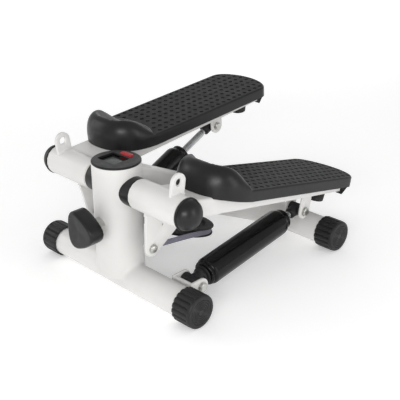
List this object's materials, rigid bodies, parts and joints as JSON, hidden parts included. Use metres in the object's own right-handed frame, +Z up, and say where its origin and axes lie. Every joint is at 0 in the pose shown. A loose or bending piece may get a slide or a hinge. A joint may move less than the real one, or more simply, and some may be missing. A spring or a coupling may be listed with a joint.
{
  "type": "mini stepper",
  "caption": "Compact exercise stepper: two foot plates swing in opposite directions on one pivot shaft, held by two oil dampers and linked by a strap and pulley, on a white tube base.",
  "frame": {"origin": "middle of the bounding box in plan, on the floor", "axes": "+Y from the console column towards the rear of the foot plates, +Z up, +X to the user's right"},
  "size_m": [0.372, 0.5024, 0.2467],
  "materials": {
    "white_paint": "warm white satin powder coat",
    "black_plastic": "moulded, fine matt texture",
    "stop_rubber": "matt",
    "damper_black": "gloss black",
    "rod_chrome": "polished",
    "zinc_steel": "bright zinc plate",
    "nylon": "natural nylon",
    "strap_webbing": "woven grey-violet webbing",
    "console_bezel": "semi gloss black",
    "console_screen": "grey LCD under a clear window",
    "button_red": "red"
  },
  "bodies": {
    "frame": {"front_cross_tube": "white_paint", "rear_cross_tube": "white_paint", "front_right_foot_cap": "black_plastic", "front_left_foot_cap": "black_plastic", "rear_right_foot_cap": "black_plastic", "rear_left_foot_cap": "black_plastic", "column_tube": "white_paint", "main_beam": "white_paint", "pivot_shaft": "zinc_steel", "right_shaft_retainer": "zinc_steel", "left_shaft_retainer": "zinc_steel", "right_pivot_collar": "black_plastic", "left_pivot_collar": "black_plastic", "console_housing": "console_bezel", "console_display": "console_screen", "spindle_nut": "zinc_steel", "pulley_hanger": "white_paint", "pulley_axle": "zinc_steel", "right_lower_clevis": "white_paint", "left_lower_clevis": "white_paint", "right_lower_pin": "zinc_steel", "left_lower_pin": "zinc_steel", "drive_strap": "strap_webbing"},
    "right_pedal": {"right_sleeve": "white_paint", "right_inner_bush": "nylon", "right_outer_bush": "nylon", "right_end_dome": "black_plastic", "right_band_tab": "white_paint", "right_drive_bracket": "white_paint", "right_strap_bolt": "zinc_steel", "right_arm_tray": "white_paint", "right_footplate": "black_plastic", "right_upper_clevis": "white_paint", "right_upper_pin": "zinc_steel", "right_stop_bumper": "stop_rubber"},
    "left_pedal": {"left_sleeve": "white_paint", "left_inner_bush": "nylon", "left_outer_bush": "nylon", "left_end_dome": "black_plastic", "left_band_tab": "white_paint", "left_drive_bracket": "white_paint", "left_strap_bolt": "zinc_steel", "left_arm_tray": "white_paint", "left_footplate": "black_plastic", "left_upper_clevis": "white_paint", "left_upper_pin": "zinc_steel", "left_stop_bumper": "stop_rubber"},
    "right_damper": {"right_damper_cylinder": "damper_black", "right_lower_eye": "black_plastic"},
    "right_rod": {"right_piston_rod": "rod_chrome", "right_upper_eye": "black_plastic"},
    "left_damper": {"left_damper_cylinder": "damper_black", "left_lower_eye": "black_plastic"},
    "left_rod": {"left_piston_rod": "rod_chrome", "left_upper_eye": "black_plastic"},
    "pulley": {"drive_pulley": "black_plastic"},
    "knob": {"step_knob": "black_plastic", "knob_spindle": "zinc_steel"},
    "button": {"console_button": "button_red"}
  },
  "joints": [
    {"name": "right_pedal_swing", "type": "hinge", "parent": "frame", "child": "right_pedal", "pos_m": [0.104, -0.17022, 0.179], "axis": [1, 0, 0], "range_deg": [-2.5, 19.8], "deforming": ["drive_strap"]},
    {"name": "left_pedal_swing", "type": "hinge", "parent": "frame", "child": "left_pedal", "pos_m": [-0.104, -0.17022, 0.179], "axis": [1, 0, 0], "range_deg": [-19.8, 2.5], "deforming": ["drive_strap"]},
    {"name": "right_damper_tilt", "type": "hinge", "parent": "frame", "child": "right_damper", "pos_m": [0.114, -0.12272, 0.0323], "axis": [1, 0, 0], "range_deg": [-2.6, 20.1]},
    {"name": "right_rod_slide", "type": "slide", "parent": "right_damper", "child": "right_rod", "axis": [0, 0.9899, 0.1417], "range_m": [-0.0067, 0.0531]},
    {"name": "left_damper_tilt", "type": "hinge", "parent": "frame", "child": "left_damper", "pos_m": [-0.114, -0.12272, 0.0323], "axis": [1, 0, 0], "range_deg": [-19.9, 2.6]},
    {"name": "left_rod_slide", "type": "slide", "parent": "left_damper", "child": "left_rod", "axis": [0, 0.9017, 0.4324], "range_m": [-0.0531, 0.0067]},
    {"name": "pulley_turn", "type": "hinge", "parent": "frame", "child": "pulley", "pos_m": [0, -0.04222, 0.068], "axis": [0, 0.2672, 0.9636], "range_deg": [-3.4, 26.8]},
    {"name": "knob_turn", "type": "hinge", "parent": "frame", "child": "knob", "pos_m": [0, -0.23022, 0.125], "axis": [0, -1, 0], "continuous": true},
    {"name": "button_press", "type": "slide", "parent": "frame", "child": "button", "axis": [0, 0, -1], "range_m": [0, 0.0012], "stiffness_N_per_m": 400}
  ],
  "couplings": [
    {"joint": "left_pedal_swing", "follows": "right_pedal_swing", "ratio": -1},
    {"joint": "right_damper_tilt", "follows": "right_pedal_swing", "ratio": 1.014},
    {"joint": "right_rod_slide", "follows": "right_pedal_swing", "m_per_rad": 0.1534},
    {"joint": "left_damper_tilt", "follows": "right_pedal_swing", "ratio": -1.005},
    {"joint": "left_rod_slide", "follows": "right_pedal_swing", "m_per_rad": -0.1534},
    {"joint": "pulley_turn", "follows": "right_pedal_swing", "ratio": 1.3534}
  ]
}
